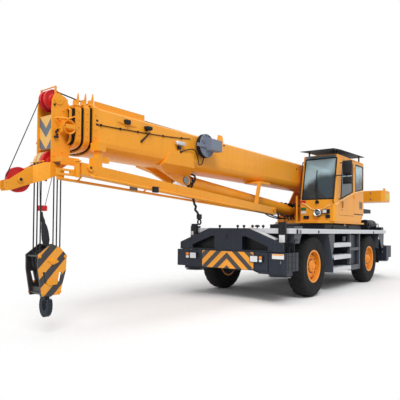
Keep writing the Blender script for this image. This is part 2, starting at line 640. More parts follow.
for name, x, side in CORNERS:
    wheel = "wheel_" + name
    piece("tyre_" + name + "_tread", tyre(x, side), RUBBER, wheel, sharp=28, replaces="tyre_" + name)
    centre = (x, side * WHEEL_Y, TYRE_RADIUS)
    face = [(0.0005, 0.166), (0.052, 0.166), (0.06, 0.158), (0.062, 0.142), (0.104, 0.138), (0.118, 0.128),
            (0.126, 0.098), (0.158, 0.09), (0.238, 0.088), (0.264, 0.078), (0.284, 0.052), (0.29, 0.03)]
    piece("hub_face_" + name, turned([(r, side * y) for r, y in face], centre, "y", 72), RIM_ORANGE, wheel,
          sharp=28)
    nuts = hexagon_bolts(round_the_wheel(x, side, 0.205, 0.088, 12), "y", 0.021, side * 0.03)
    studs = hexagon_bolts(round_the_wheel(x, side, 0.205, 0.116, 12), "y", 0.01, side * 0.016, 8)
    piece("wheel_nuts_" + name, joined(nuts, studs), RIM_ORANGE, wheel, 0.002)
    hub = [hexagon_bolts(round_the_wheel(x, side, 0.084, 0.138, 8, 0.2), "y", 0.01, side * 0.012)]
    hub.append(hexagon_bolts([(x, side * (WHEEL_Y + 0.165), TYRE_RADIUS)], "y", 0.02, side * 0.01))
    piece("hub_fastenings_" + name, joined(*hub), RIM_ORANGE, wheel, 0.0015)
    piece("lock_ring_" + name, ring(0.309, 0.008, (x, side * (WHEEL_Y + 0.152), TYRE_RADIUS), "y", 72),
          RIM_ORANGE, wheel)
    valve = straight((x + 0.262, side * (WHEEL_Y + 0.036), TYRE_RADIUS + 0.05),
                     (x + 0.285, side * (WHEEL_Y + 0.11), TYRE_RADIUS + 0.055), 0.006)
    piece("valve_" + name, valve, GASKET, wheel)
    shades = []
    for r, y, wide, drop in ((0.129, 0.1005, 0.018, 0.004), (0.243, 0.0905, 0.012, 0.004),
                             (0.286, 0.058, 0.016, 0.01)):
        band = ((r, y - 0.012), (r, y), (r + wide, y - drop), (r + wide, y - 0.016))
        shades.append(turned([(a, side * b) for a, b in band], centre, "y", 72))
    piece("rim_grime_" + name, joined(*shades), IRON, wheel, 0.0005)
    drum = turned([(0.1, side * -0.148), (0.332, side * -0.163), (0.332, side * -0.157),
                   (0.225, side * -0.135), (0.1, side * -0.13)], centre, "y", 56)
    piece("inner_drum_" + name, drum, IRON, wheel, 0.001)

# ---- front of the carrier -----------------------------------------------------------
piece("front_stripe_plate", plate(1.425, 1.431, -0.618, 0.618, 0.612, 0.955, "x", 0.02), FRONT_STRIPES,
      "chassis", 0.002)
piece("plate_bolts",
      hexagon_bolts([(1.431, y, z) for y in (-0.59, 0.59) for z in (0.64, 0.925)], "x", 0.014, 0.01), STEEL,
      "chassis", 0.001)
# lamp lenses: front face x, y0, y1, z0, z1, material
LENSES = (
    ("white_lamp_left", 1.455, 0.557, 0.724, 0.774, 0.89, CLEAR),
    ("amber_lamp_left", 1.455, 0.755, 0.821, 0.833, 0.89, AMBER),
    ("side_lamp_left", 1.455, 0.755, 0.821, 0.774, 0.829, CLEAR),
    ("white_lamp_right", 1.45, -0.929, -0.766, 0.78, 0.9, CLEAR),
    ("amber_lamp_right", 1.45, -1.04, -0.956, 0.842, 0.9, AMBER),
    ("side_lamp_right", 1.45, -1.04, -0.956, 0.78, 0.838, CLEAR),
)
for name, x, y0, y1, z0, z1, material in LENSES:
    piece(name, plate(x, x + 0.01, y0 + 0.004, y1 - 0.004, z0 + 0.002, z1 - 0.004, "x", 0.01), material,
          "chassis", 0.003)
rear_x = -5.56
for side, name in SIDES:
    for tag, a, b, material in (("red", 0.775, 0.885, RED_LENS), ("amber", 0.895, 0.955, AMBER),
                                ("white", 0.965, 1.035, CLEAR)):
        y0, y1 = sorted((side * a, side * b))
        piece("rear_" + tag + "_lamp_" + name, plate(rear_x - 0.008, rear_x, y0, y1, 0.785, 0.88, "x", 0.008),
              material, "chassis", 0.003)
piece("left_post_label", plate(1.27, 1.272, 1.081, 1.2, 1.155, 1.294, "x", 0.004), WHITE, "chassis")
piece("right_post_label", plate(1.27, 1.272, -1.04, -0.985, 1.27, 1.35, "x", 0.004), WHITE, "chassis")
piece("left_beam_label", plate(1.403, 1.405, 1.005, 1.253, 0.846, 0.94, "x", 0.004), WHITE, "beam_front_left")
piece("left_beam_label_top", plate(1.405, 1.406, 1.01, 1.248, 0.912, 0.936, "x", 0.004), ORANGE,
      "beam_front_left")

# knobs along the deck's front edge, each a turned head
knobs = []
for y in (-0.371, 0.076, 0.227, 0.427, 0.537, 0.67):
    size = 1.7 if y == 0.537 else 1.0
    profile = [(0.014, 0.0), (0.014, 0.022), (0.026 * size, 0.026), (0.03 * size, 0.04),
               (0.024 * size, 0.062)]
    knobs.append(spun(0.0, profile, 0.07, (1.15, y, DECK_TOP), "z", 16))
piece("front_edge_knobs", joined(*knobs), BLACK, "chassis")
piece("guard_slot", plate(1.395, 1.397, -0.038, -0.008, 1.206, 1.299, "x", 0.012), BLACK, "chassis")
spots = ((0.96, 1.0), (1.2, 1.0), (1.2, 1.09), (0.3, 1.02), (0.3, 1.36), (0.96, 1.19))
bolts = [(1.395, side * y, z) for side in (1, -1) for y, z in spots]
piece("guard_bolts", hexagon_bolts(bolts, "x", 0.015, 0.01), CHARCOAL, "chassis", 0.001)
back = [(0.3, 0.975), (1.04, 0.975), (1.04, 1.175), (0.5, 1.382), (0.3, 1.382)]
mirrored_pair("pocket_back_*", prism(back, "x", 1.215, 1.223), BLACK, "chassis")

# ribs and a hoop on the outer end of each front beam, and the skirt plate ahead of each front wheel
ribs = [bar(0.99, 1.375, 1.304, 1.313, z, z + 0.022) for z in (0.66, 0.77, 0.88)]
ribs += [bar(x, x + 0.014, 1.304, 1.3145, 0.6, 0.955) for x in (1.03, 1.18, 1.33)]
hoop = bent([(1.06, 1.29, 0.96), (1.06, 1.29, 1.13), (1.04, 1.29, 1.18), (0.99, 1.29, 1.2), (0.9, 1.29, 1.2)],
            0.014, 8, 30)
ribs += [hoop, bar(1.12, 1.134, 1.2, 1.3, 0.96, 1.15), bar(1.25, 1.262, 1.22, 1.3, 0.96, 1.08)]
mirrored_pair("housing_ribs_*", joined(*ribs), BLACK, "beam_front_*", 0.002)
skirt = prism([(0.64, 1.468), (1.01, 1.468), (1.01, 1.13), (0.79, 1.13), (0.7, 1.3)], "y", 1.262, 1.27)
folded = prism([(1.0, 1.468), (1.01, 1.468), (1.01, 1.13), (1.0, 1.13)], "y", 1.12, 1.27)
mirrored_pair("front_skirt_*", joined(skirt, folded), GREY, "chassis", 0.002)

# outrigger fittings on each beam: locking pin, hose down the jack, top cap of the jack tube
JACK_Y = 1.11
BEAM_X = {"front_left": 1.285, "front_right": 1.035, "rear_left": -5.175, "rear_right": -5.425}
for name, x in BEAM_X.items():
    side = 1 if name.endswith("left") else -1
    beam = "beam_" + name
    cap = spun(1.13, [(0.07, 1.13), (0.078, 1.138), (0.06, 1.152)], 1.156, (x, side * JACK_Y, 0), "z", 28)
    ring_low = turned([(0.08, 0.965), (0.092, 0.965), (0.092, 0.99), (0.08, 0.99)], (x, side * JACK_Y, 0),
                      "z", 32)
    piece("jack_cap_" + name, joined(cap, ring_low), CHARCOAL, beam, 0.001)
    hose = bent([(x - 0.03, side * 1.02, 1.0), (x - 0.04, side * 1.0, 1.06), (x - 0.02, side * 1.04, 1.12),
                 (x, side * 1.08, 1.15)], 0.009, 8, 24)
    piece("jack_hose_" + name, hose, GASKET, beam)
    pin = joined(straight((x - 0.13, side * 1.2, 0.78), (x + 0.13, side * 1.2, 0.78), 0.012, 12),
                 ring(0.03, 0.006, (x + 0.13, side * 1.2, 0.78), "y", 20, 8))
    piece("locking_pin_" + name, pin, STEEL, beam)

# ---- deck edge, treads, sides -------------------------------------------------------
DECK_BACK, DECK_FRONT, RAIL_Y = -5.05, 1.21, 1.29
RAIL_RIBS = (1.334, 1.36, 1.386)      # heights of the ribs along the rail
for side, name in SIDES:
    front = DECK_FRONT if side > 0 else DECK_FRONT - 0.3
    ribs = [bar(DECK_BACK + 0.005, front - 0.01, *sorted((side * RAIL_Y, side * (RAIL_Y + 0.005))), z,
                z + 0.01) for z in RAIL_RIBS]
    piece("rail_ribs_" + name, joined(*ribs), ALUMINIUM, "chassis", 0.0015)
piece("front_rail_ribs",
      joined(*[bar(DECK_FRONT, DECK_FRONT + 0.005, -0.98, 1.285, z, z + 0.01) for z in RAIL_RIBS]), ALUMINIUM,
      "chassis", 0.0015)


def tread_ribs(top, y0, y1):
    """Raised ribs along a tread and small teeth across it: a lattice of short bars on its top face."""
    rows = [bar(-2.09, -0.99, y, y + 0.01, top, top + 0.006) for y in np.linspace(y0 + 0.01, y1 - 0.02, 7)]
    edge = [bar(-2.095, -0.985, y1 - 0.001, y1 + 0.004, z, z + 0.01)
            for z in (top - 0.03, top - 0.055, top - 0.08)]
    return joined(*rows, *edge)


for n, top in enumerate((1.1, 0.82, 0.54)):
    mirrored_pair("tread_ribs_*_%d" % (n + 1), tread_ribs(top, 1.03, 1.28), ALUMINIUM, "chassis", 0.001)


def chequer(x0, x1, y0, y1, z, step=0.085):
    """Chequer plate: one low lozenge at each point of a grid, turned a quarter at every second point."""
    nx, ny = int((x1 - x0) / step), int((y1 - y0) / step)
    gx, gy = np.meshgrid(x0 + step * (np.arange(nx) + 0.5), y0 + step * (np.arange(ny) + 0.5), indexing="ij")
    odd = ((np.add.outer(np.arange(nx), np.arange(ny))) % 2).ravel()[:, None]
    outline = np.array([(-0.026, 0, 0), (0, -0.006, 0), (0.026, 0, 0), (0, 0.006, 0), (0, 0, 0.0035)])
    turned_one = outline[:, [1, 0, 2]]
    shape = np.where(odd[..., None] > 0, turned_one[None], outline[None])
    points = (shape + np.stack([gx.ravel(), gy.ravel(), np.full(gx.size, z)], 1)[:, None]).reshape(-1, 3)
    faces = [[5 * n + k, 5 * n + (k + 1) % 4, 5 * n + 4] for n in range(gx.size) for k in range(4)]
    faces += [[5 * n + 3, 5 * n + 2, 5 * n + 1, 5 * n] for n in range(gx.size)]
    return points, faces


piece("deck_studs_front", chequer(-1.02, 1.14, -0.94, 1.23, DECK_TOP), CHARCOAL, "chassis")
piece("deck_studs_back", chequer(-5.03, -3.72, 0.76, 1.23, DECK_TOP), CHARCOAL, "chassis")
piece("deck_studs_right", chequer(-5.03, 0.88, -1.23, -0.95, DECK_TOP), CHARCOAL, "chassis")
piece("cover_studs", chequer(-3.62, -2.54, -0.7, 0.95, 1.535), CHARCOAL, "chassis")

dots = [spun(0.0, [(0.03, 0.0), (0.027, 0.01)], 0.013, (x, RAIL_Y, 1.356), "y", 16) for x in (-0.095, -3.863)]
piece("rail_reflectors", joined(*dots), BLACK, "chassis")
piece("rail_socket",
      joined(plate(1.29, 1.3, 0.897, 0.964, 1.318, 1.405, "y", 0.008),
             domed(0.024, 0.01, (0.93, 1.3, 1.36), "y")), BLACK, "chassis", 0.001)
piece("rail_round_cap",
      spun(0.0, [(0.042, 0.0), (0.042, 0.008), (0.034, 0.014)], 0.014, (0.796, RAIL_Y, 1.359), "y", 28),
      STEEL, "chassis")
piece("side_reservoir",
      spun(1.133, [(0.078, 1.133), (0.088, 1.142), (0.088, 1.243), (0.07, 1.262)], 1.266, (-2.2, 1.095, 0),
           "z", 32), WHITE, "chassis")
piece("reservoir_cap", spun(1.262, [(0.04, 1.262), (0.042, 1.292)], 1.296, (-2.2, 1.095, 0), "z", 20), BLACK,
      "chassis")
piece("side_marker_lamp", plate(1.0, 1.022, -2.43, -2.34, 1.512, 1.558, "y", 0.008), AMBER, "chassis", 0.002)
for n, (x, z) in enumerate(((-1.643, 1.477), (-2.676, 1.488))):
    hook_loop = joined(ring(0.03, 0.007, (x, 1.012, z), "y", 20, 8),
                       plate(1.0, 1.006, x - 0.03, x + 0.03, z - 0.02, z + 0.045, "y", 0.006))
    piece("cover_hook_%d" % (n + 1), hook_loop, STEEL, "chassis")
grab = bent([(-4.4, 1.205, 1.42), (-4.4, 1.205, 1.54), (-4.42, 1.205, 1.59), (-4.5, 1.205, 1.6),
             (-4.57, 1.205, 1.59), (-4.59, 1.205, 1.54), (-4.59, 1.205, 1.42)], 0.012, 10, 48)
piece("deck_grab_rail", grab, BLACK, "chassis")
piece("rear_deck_box",
      joined(bar(-5.03, -4.78, 0.8, 1.23, 1.422, 1.5), bar(-5.02, -4.79, 0.81, 1.22, 1.5, 1.508)), BLACK,
      "chassis", 0.008)
CLEANER = (0, 0.985, 1.568)       # axis of the air cleaner
ring_bar = joined(ring(0.085, 0.013, (-3.86, 1.14, 1.555), "y", 36, 10),
                  turned([(0.1, 0.0), (0.135, 0.0), (0.135, 0.02), (0.1, 0.02)], (-3.986, 0.985, 1.568), "x",
                         36))
piece("cleaner_ring", ring_bar, CHARCOAL, "chassis")
bands = [turned([(0.1425, x), (0.1475, x), (0.1475, x + 0.025), (0.1425, x + 0.025)], CLEANER, "x", 48)
         for x in (-4.55, -4.15)]
piece("cleaner_bands", joined(*bands), CHARCOAL, "chassis")
cleaner_end = spun(-3.99, [(0.12, -3.99), (0.128, -3.984), (0.105, -3.974), (0.04, -3.978)], -3.972, CLEANER,
                   "x", 40)
piece("cleaner_end", cleaner_end, IRON, "chassis")

# hood: louvres on both sides, bolts on top; exhaust pipe
for side, name in SIDES:
    for n, x in enumerate((-4.75, -4.3)):
        piece("hood_louvres_%s_%d" % (name, n + 1), louvres(x, x + 0.38, 1.45, 1.59, side * 0.74, side, 7),
              BLACK, "chassis", 0.0008)
studs = [(x, y, 1.69) for x in (-4.8, -4.29, -3.78) for y in (-0.5, 0.0, 0.5)]
piece("hood_bolts", hexagon_bolts(studs, "z", 0.013, 0.01), STEEL, "chassis", 0.001)
pipe = joined(straight((-4.55, -0.95, 1.42), (-4.55, -0.95, 1.6), 0.05, 20),
              turned([(0.075, 1.46), (0.095, 1.46), (0.095, 1.58), (0.075, 1.58)], (-4.55, -0.95, 0), "z",
                     28))
piece("exhaust_pipe", pipe, IRON, "chassis", 0.002)

# mud flaps behind the rear wheels; brake hoses, axle clamps and drive line
for name, x, side in CORNERS:
    if x < 0:
        y0, y1 = sorted((side * 0.9, side * 1.24))
        t = np.linspace(0, 1, 7)
        edge_x, edge_y = np.array([-4.512, -4.5, -4.5, -4.512]), np.array([y0, y0, y1, y1])
        flap = loft(np.stack([placed(edge_x - 0.03 * s**2, edge_y, 0.905 - 0.42 * s, "z") for s in t]))
        piece("mud_flap_" + name, flap, GASKET, "chassis", 0.001)
    pipe = bent([(x - 0.02, side * 0.22, 0.86), (x - 0.05, side * 0.3, 0.8), (x - 0.08, side * 0.46, 0.77),
                 (x - 0.06, side * 0.62, 0.74)], 0.01, 8, 30)
    piece("brake_hose_" + name, pipe, GASKET, "chassis")
    spring = straight((x + 0.16, side * 0.36, 0.7), (x + 0.16, side * 0.36, 0.86), 0.045, 20)
    piece("axle_clamp_" + name,
          joined(spring, bar(x + 0.1, x + 0.22, *sorted((side * 0.3, side * 0.42)), 0.66, 0.7)), IRON,
          "chassis", 0.004)
shaft = joined(straight((-0.19, 0.0, 0.66), (-1.2, 0.0, 0.92), 0.04, 20),
               straight((-2.5, 0.0, 0.92), (-3.49, 0.0, 0.66), 0.04, 20),
               bar(-2.5, -1.2, -0.16, 0.16, 0.8, 1.07))
piece("drive_line", shaft, IRON, "chassis", 0.006)

# ---- superstructure -----------------------------------------------------------------
PIVOT_X, PIVOT_Z = -3.27, 2.66
for side, name in SIDES:
    y = side * 0.375
    washer = spun(0.0, [(0.12, 0.0), (0.12, side * 0.01), (0.088, side * 0.02)], side * 0.02,
                  (PIVOT_X, y, PIVOT_Z), "y", 40)
    turn = np.arange(6) * np.pi / 3
    circle = placed(PIVOT_X + 0.1 * np.cos(turn), PIVOT_Z + 0.1 * np.sin(turn), y + side * 0.01, "y")
    heads = hexagon_bolts(circle, "y", 0.01, side * 0.01)
    piece("pivot_cap_" + name, joined(washer, heads), ORANGE, UPPER, 0.001)


def wound(x, z, along, radius, rise, pitch, count):
    """Rope wound on a drum: a wave along it, one groove a rope's width, that leans round it as a helix."""
    turn = np.linspace(0, 2 * np.pi, count, endpoint=False)[:, None]
    r = radius + rise * np.abs(np.cos(np.pi * along[None, :] / pitch + turn / 2))
    points = placed(r * np.cos(turn), r * np.sin(turn), along + 0 * turn, "y") + np.array([x, 0, z])
    return points.reshape(-1, 3), grid_faces(count, len(along), wrap_rows=True)


for name, x, z in (("main", -4.08, 2.33), ("second", -4.6, 2.4)):
    drum = wound(x, z, np.linspace(-0.235, 0.235, 188), 0.168, 0.008, 0.02, 40)
    piece("drum_rope_" + name, drum, ROPE, UPPER, sharp=60)
    motor = joined(straight((x, -0.375, z), (x, -0.52, z), 0.105, 32),
                   straight((x, -0.52, z), (x, -0.6, z), 0.07, 24),
                   straight((x, 0.375, z), (x, 0.395, z), 0.12, 32))
    piece("winch_motor_" + name, motor, IRON, UPPER, 0.004)
piece("counterweight_lug_plate", plate(1.28, 1.283, -5.5, -5.12, 2.34, 2.5, "y", 0.01), YELLOW, UPPER)
piece("counterweight_bolts",
      hexagon_bolts([(-4.9, y, z) for y in (-0.9, -0.6, 0.6, 0.9) for z in (2.34, 2.53)], "x", 0.022, 0.014),
      STEEL, UPPER, 0.001)


def cylinder_axis(distance):
    """Point on the lift cylinder's axis, measured from its foot."""
    foot, eye = np.array(CYLINDER_FOOT), np.array(ROD_EYE)
    return foot + (eye - foot) * distance / np.linalg.norm(eye - foot)


rings = (((4.36, 4.372, 4.4, 4.412), (0.134, 0.141, 0.141, 0.134)),
         ((4.412, 4.4128, 4.428), (0.126, 0.122, 0.108)))
gland = [tube([cylinder_axis(d) for d in along], radii, 40, up=(0, 1, 0)) for along, radii in rings]
piece("cylinder_gland", joined(*gland), BLACK, "lift_barrel", 0.001)
for n, y in enumerate((-0.055, 0.055)):
    drop = np.array([0, y, -0.15])
    path = [cylinder_axis(d) + drop for d in np.linspace(0.3, 4.18, 12)]
    elbow = [cylinder_axis(d) + drop + (0, 0, rise) for d, rise in ((4.18, 0), (4.22, 0.012), (4.24, 0.05))]
    pipe = joined(*[tube(line, 0.011, 10, up=(0, 1, 0)) for line in (path, elbow)])
    piece("cylinder_pipe_%d" % (n + 1), pipe, STEEL, "lift_barrel")
clamps = [tube([cylinder_axis(place) + (0, 0, -0.148) for place in (d, d + 0.03)], 0.075, 16, up=(0, 1, 0),
               flat=0.22) for d in (0.9, 1.9, 2.9, 3.8)]
piece("pipe_clamps", joined(*clamps), BLACK, "lift_barrel", 0.002)
HOSE_ENDS = (((-1.1, 0.2, 1.72), (0.3, 0.13, 1.84)), ((-1.14, 0.1, 1.72), (0.1, 0.04, 1.8)))
for n, ends in enumerate(HOSE_ENDS):
    a, b = np.array(ends)
    path = [a, a + (0.12, 0.0, 0.02), a + (0.45, 0.0, -0.06), b + (-0.35, 0.02, -0.1), b]
    piece("cylinder_hose_%d" % (n + 1), bent(path, 0.014, 10, 48), GASKET, UPPER)
for n, y in enumerate((-0.06, 0.02, 0.1, 0.18)):
    path = [(-1.4, y, 1.66), (-1.33, y, 1.76 + 0.03 * (n % 2)), (-1.2, y * 1.2, 2.02),
            (-1.02, y * 1.3, 2.06 - 0.02 * n), (-1.28, y, 1.98), (-1.52, y, 2.02)]
    piece("nose_hose_%d" % (n + 1), bent(path, 0.015, 10, 56), GASKET, UPPER)
piece("nose_bolts",
      hexagon_bolts([(-1.42, y, z) for y in (-0.32, 0.32) for z in (1.63, 1.7)], "x", 0.014, 0.01), STEEL,
      UPPER, 0.001)

# ---- cab ----------------------------------------------------------------------------
CAB_FRONT, CAB_Y = -1.03, 1.28
SCREEN_FOOT, SCREEN_SLOPE, SCREEN_NORMAL = 2.095, 0.19535, (0.981, 0.192)


def on_screen(y, z, out=0.0):
    """Point on the windscreen's slope at a height, moved out square to it."""
    lean = (z - SCREEN_FOOT) * SCREEN_SLOPE
    x = CAB_FRONT - lean + out * SCREEN_NORMAL[0]
    return np.stack(np.broadcast_arrays(x, y, z + out * SCREEN_NORMAL[1]), -1)


def strip_round(outline, width, shoulder, lay):
    """Rubber strip round a closed outline: a low arch, laid by a function of both coordinates and height."""
    corners = np.asarray(outline, float)
    share = np.linspace(0, 1, 24, endpoint=False)[:, None]
    steps = np.concatenate([a + (b - a) * share for a, b in zip(corners, np.roll(corners, -1, 0))])
    ahead = unit(np.roll(steps, -1, 0) - np.roll(steps, 1, 0))
    across = np.stack([ahead[:, 1], -ahead[:, 0]], 1)
    grid = np.stack([lay(*(steps + across * s * width / 2).T, h)
                     for s, h in ((-1, 0.0), (-shoulder, 1.0), (shoulder, 1.0), (1, 0.0))], axis=1)
    return grid.reshape(-1, 3), grid_faces(len(steps), 4, wrap_rows=True, wrap_cols=True)


def seal_on_side(outline, y, width=0.022, rise=0.005):
    """Rubber strip round a window on a side wall."""
    return strip_round(outline, width, 0.6, lambda a, b, h: placed(a, b, y + h * rise, "y"))


piece("windscreen_seal",
      strip_round([(0.48, 2.12), (1.245, 2.12), (1.25, 3.085), (0.49, 3.085)], 0.03, 0.7,
                  lambda y, z, h: on_screen(y, z, h * 0.007)), GASKET, UPPER, sharp=60)
piece("door_window_seal", seal_on_side([(-1.378, 2.125), (-2.21, 2.345), (-2.21, 3.04), (-1.5, 3.04)], CAB_Y),
      GASKET, "cab_door", sharp=60)
piece("rear_window_seal",
      seal_on_side([(-2.395, 2.377), (-2.985, 2.47), (-2.985, 3.05), (-2.395, 3.05)], CAB_Y), GASKET, UPPER,
      sharp=60)
piece("inner_window_seal",
      seal_on_side([(-1.4, 2.25), (-2.95, 2.4), (-2.95, 3.04), (-1.5, 3.04)], 0.42, rise=-0.005), GASKET,
      UPPER, sharp=60)
# ridge pressed into the lower panels: rising along the side, and hanging like a shallow cup on the front
RIDGES = (      # name, body, steps, direction square to the wall, points
    ("side_ridge_front", UPPER, 20, (0, 1, 0), [(-1.06, 1.281, 1.985), (-1.18, 1.281, 2.005),
                                                (-1.27, 1.281, 2.055)]),
    ("side_ridge_door", "cab_door", 30, (0, 1, 0), [(-1.3, 1.281, 2.062), (-1.45, 1.281, 2.105),
                                                    (-1.8, 1.281, 2.2), (-2.28, 1.281, 2.318)]),
    ("side_ridge_back", UPPER, 20, (0, 1, 0), [(-2.31, 1.281, 2.325), (-2.6, 1.281, 2.375),
                                               (-3.02, 1.281, 2.43)]),
    ("front_ridge", UPPER, 60, (1, 0, 0), [(-1.031, y, z) for y, z in (
        (0.47, 2.035), (0.585, 1.988), (0.66, 1.927), (0.747, 1.88), (0.9, 1.868),
        (1.0, 1.89), (1.075, 1.935), (1.15, 1.965), (1.235, 1.985))]),
)
for name, body, count, out, points in RIDGES:
    piece(name, tube(through(points, count), 0.017, 8, up=out), RIDGE, body)
# plates with nothing written on them: y0, y1, z0, z1, material
FRONT_PLATES = (
    ("red_plate", 0.44, 0.575, 2.028, 2.095, RED),
    ("green_plate", 0.45, 0.585, 1.86, 1.93, GREEN),
    ("white_plate", 0.455, 0.588, 1.785, 1.845, WHITE),
)
for name, y0, y1, z0, z1, material in FRONT_PLATES:
    piece("cab_" + name, plate(CAB_FRONT, -1.027, y0, y1, z0, z1, "x", 0.004), material, UPPER)
piece("cab_socket", plate(CAB_FRONT, -1.008, 0.525, 0.66, 1.66, 1.735, "x", 0.012), BLACK, UPPER, 0.003)
lamp = (CAB_FRONT, 0.887, 1.797)
piece("round_lamp_body",
      spun(0.0, [(0.075, 0.0), (0.088, 0.025), (0.09, 0.062), (0.08, 0.07)], 0.06, lamp, "x", 36), BLACK,
      UPPER)
piece("round_lamp_ring",
      turned([(0.058, 0.062), (0.086, 0.062), (0.088, 0.07), (0.078, 0.08), (0.058, 0.074)], lamp, "x", 40),
      CHROME, UPPER)
piece("round_lamp_lens", domed(0.058, 0.012, (lamp[0] + 0.062, lamp[1], lamp[2]), "x"), HEADER, UPPER)
piece("square_lamp_body", plate(CAB_FRONT, -0.985, 1.0, 1.165, 1.78, 1.88, "x", 0.014), BLACK, UPPER, 0.003)
piece("square_lamp_lens", plate(-0.985, -0.978, 1.012, 1.1, 1.792, 1.868, "x", 0.01), CLEAR, UPPER, 0.002)
piece("lower_lamp", plate(CAB_FRONT, -1.0, 1.07, 1.17, 1.68, 1.755, "x", 0.012), BLACK, UPPER, 0.003)
# wiper: motor cover, arm up the glass, blade
arm = joined(tube([on_screen(0.86, 2.08, 0.03), on_screen(0.84, 2.25, 0.035), on_screen(0.8, 2.55, 0.028)],
                  [0.01, 0.008, 0.006], 8),
             tube([on_screen(0.8, 2.3, 0.018), on_screen(0.8, 2.8, 0.018)], 0.007, 8, up=(1, 0, 0), flat=1.8))
piece("wiper", arm, PLASTIC, UPPER)
piece("wiper_motor", joined(spun(0.0, [(0.034, 0.0), (0.03, 0.045)], 0.052, (CAB_FRONT, 0.86, 2.06), "x", 20),
                            bar(-1.032, -1.002, 0.82, 0.9, 2.02, 2.06)), PLASTIC, UPPER, 0.002)
# grab rails beside the windscreen
for name, y, low_z, high_z in (("right", 0.44, 2.15, 3.02), ("left", 1.262, 2.02, 3.06)):
    a, b = on_screen(y, low_z, 0.0), on_screen(y, high_z, 0.0)
    path = [a, on_screen(y, low_z + 0.01, 0.05), on_screen(y, low_z + 0.08, 0.062),
            on_screen(y, (low_z + high_z) / 2, 0.062), on_screen(y, high_z - 0.08, 0.062),
            on_screen(y, high_z - 0.01, 0.05), b]
    piece("screen_rail_" + name, tube(through(path, 60), 0.011, 10, up=(0, 1, 0)), BLACK, UPPER)
# mirrors: reflecting faces towards the driver, crowned backs
for n, (z0, z1) in enumerate(((2.64, 2.98), (2.45, 2.61))):
    piece("mirror_glass_%d" % (n + 1), plate(-1.188, -1.185, 1.432, 1.608, z0 + 0.012, z1 - 0.012, "x", 0.02),
          CHROME, UPPER)
    u, v = np.meshgrid(np.linspace(-1, 1, 13), np.linspace(-1, 1, 17), indexing="ij")
    bulge = 0.03 * (1 - np.abs(u) ** 4) * (1 - np.abs(v) ** 6)
    back = np.stack([-1.137 + bulge, 1.52 + 0.094 * u, (z0 + z1) / 2 + (z1 - z0) / 2 * 0.96 * v], -1)
    front = back.copy()
    front[..., 0] = -1.15
    piece("mirror_back_%d" % (n + 1),
          joined((back.reshape(-1, 3), grid_faces(13, 17)),
                 (front.reshape(-1, 3), [f[::-1] for f in grid_faces(13, 17)])), PLASTIC, UPPER, sharp=50)
# door lock and grip, vent and dark strip behind the door, rail ahead of it
piece("door_lock", spun(0.0, [(0.022, 0.0), (0.02, 0.008)], 0.01, (-1.468, CAB_Y, 1.88), "y", 20), STEEL,
      "cab_door")
piece("door_handle_grip", plate(1.296, 1.31, -1.485, -1.452, 1.925, 2.078, "y", 0.012), BLACK, "cab_door",
      0.003)
piece("cab_vent", louvres(-2.89, -2.72, 1.965, 2.12, CAB_Y, 1, 7, 0.008), GREY, UPPER, 0.0006)
piece("cab_vent_frame",
      seal_on_side([(-2.71, 1.95), (-2.9, 1.95), (-2.9, 2.135), (-2.71, 2.135)], CAB_Y, 0.014, 0.006),
      BLUE_GREY, UPPER)
piece("cab_lower_strip", plate(CAB_Y, 1.284, -3.0, -2.31, 1.795, 1.818, "y", 0.008), BLACK, UPPER)
rails = bent([(-1.255, 1.281, 2.12), (-1.255, 1.33, 2.13), (-1.262, 1.335, 2.2), (-1.3, 1.335, 2.55),
              (-1.345, 1.335, 2.9), (-1.35, 1.328, 2.96), (-1.352, 1.281, 2.97)], 0.011, 10, 60)
piece("door_side_rail", rails, BLACK, UPPER)
# gutter along the roof, and the tinted band along the top of the windscreen
gutter = tube([(-1.246, 1.279, 3.125), (-1.8, 1.279, 3.135), (-3.0, 1.279, 3.12)], 0.012, 8, up=(0, 1, 0))
piece("roof_gutter", gutter, ORANGE, UPPER)
band = np.array([(0.475, 3.1), (1.24, 3.1), (1.235, 3.155), (0.48, 3.155)]).T
piece("screen_header", loft(np.stack([on_screen(*band, out) for out in (0.0, 0.003)])), HEADER, UPPER, 0.001)


def lining(name, part, body=UPPER):
    """Inner panel of the cab."""
    piece("lining_" + name, part, LINING, body, 0.001)


lining("roof", bar(-3.01, -1.28, 0.47, 1.23, 3.12, 3.128))
lining("right_low",
       prism([(-3.03, 1.87), (-2.84, 1.65), (-1.072, 1.65), (-1.072, 2.09), (-1.11, 2.235), (-1.385, 2.235),
              (-2.965, 2.385), (-3.03, 2.385)], "y", 0.4555, 0.462))
lining("right_high", bar(-3.02, -1.29, 0.4555, 0.462, 3.056, 3.118))
lining("right_front",
       prism([(-1.12, 2.245), (-1.38, 2.245), (-1.48, 3.05), (-1.275, 3.05)], "y", 0.4555, 0.462))
lining("back_low", bar(-3.0345, -3.028, 0.47, 1.23, 1.9, 2.385))
lining("back_high", bar(-3.0345, -3.028, 0.47, 1.23, 3.056, 3.112))
lining("left_back",
       prism([(-3.025, 1.88), (-2.83, 1.65), (-2.32, 1.65), (-2.32, 2.345), (-3.025, 2.45)], "y", 1.236,
             1.2445))
lining("door",
       prism([(-1.31, 1.77), (-1.31, 2.085), (-1.375, 2.1), (-2.215, 2.322), (-2.268, 2.336), (-2.268, 1.77)],
             "y", 1.24, 1.2495), "cab_door")
# seat: pedestal with slides, stitched cushion and back, arm consoles with levers
SEAT_Y = 0.85


